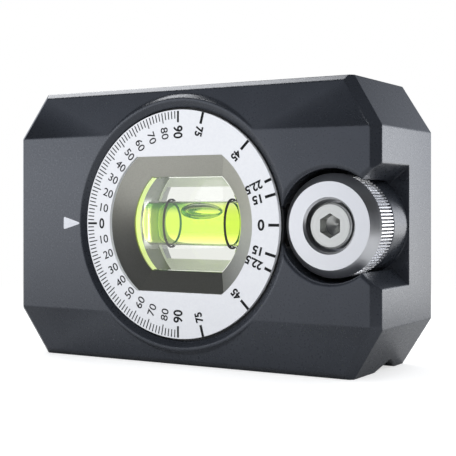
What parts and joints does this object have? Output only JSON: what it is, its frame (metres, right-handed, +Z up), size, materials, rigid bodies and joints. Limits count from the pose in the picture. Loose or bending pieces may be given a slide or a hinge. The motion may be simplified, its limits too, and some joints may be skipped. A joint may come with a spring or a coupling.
{
  "type": "magnetic level",
  "caption": "Pocket spirit level with a turning angle dial, a knurled drive wheel and a grooved magnetic underside.",
  "frame": {"origin": "middle of the underside, half-way along the body and half-way through its depth", "axes": "+X along the body towards the thumbwheel, +Y from the dial face to the back, +Z up"},
  "size_m": [0.084, 0.027, 0.0555],
  "materials": {
    "body_paint": "satin powder coat on a die casting",
    "cover_paint": "satin powder coat",
    "black_steel": "black oxide",
    "magnet_nickel": "nickel plate",
    "insert_brass": "machined",
    "washer_steel": "plain",
    "screw_steel": "turned, zinc plate",
    "wheel_aluminium": "turned, bead-blasted face",
    "dial_white": "satin white with printed scale",
    "carrier_grey": "moulded, fine grain",
    "tyre_rubber": "moulded",
    "vial_acrylic": "clear, polished",
    "vial_liquid": "clear yellow-green liquid",
    "line_black": "matt black"
  },
  "bodies": {
    "body": {"body_casting": "body_paint", "rear_cover": "cover_paint", "cover_screws": "black_steel", "magnet_left": "magnet_nickel", "magnet_right": "magnet_nickel", "thread_insert": "insert_brass", "thrust_washer": "washer_steel", "wave_washer": "washer_steel", "wheel_screw": "screw_steel"},
    "dial": {"dial_plate": "dial_white", "front_carrier": "carrier_grey", "rear_carrier": "carrier_grey", "carrier_screws": "black_steel", "drive_tyre": "tyre_rubber", "vial_block": "vial_acrylic", "vial_fluid": "vial_liquid", "vial_line_left": "line_black", "vial_line_right": "line_black", "vial_plug": "vial_acrylic"},
    "thumbwheel": {"thumbwheel": "wheel_aluminium"}
  },
  "joints": [
    {"name": "dial_turn", "type": "hinge", "parent": "body", "child": "dial", "pos_m": [-0.0006, 0, 0.028], "axis": [0, -1, 0], "continuous": true},
    {"name": "thumbwheel_turn", "type": "hinge", "parent": "body", "child": "thumbwheel", "pos_m": [0.03225, 0, 0.028], "axis": [0, -1, 0], "continuous": true}
  ],
  "couplings": [
    {"joint": "thumbwheel_turn", "follows": "dial_turn", "ratio": -2.4015}
  ]
}
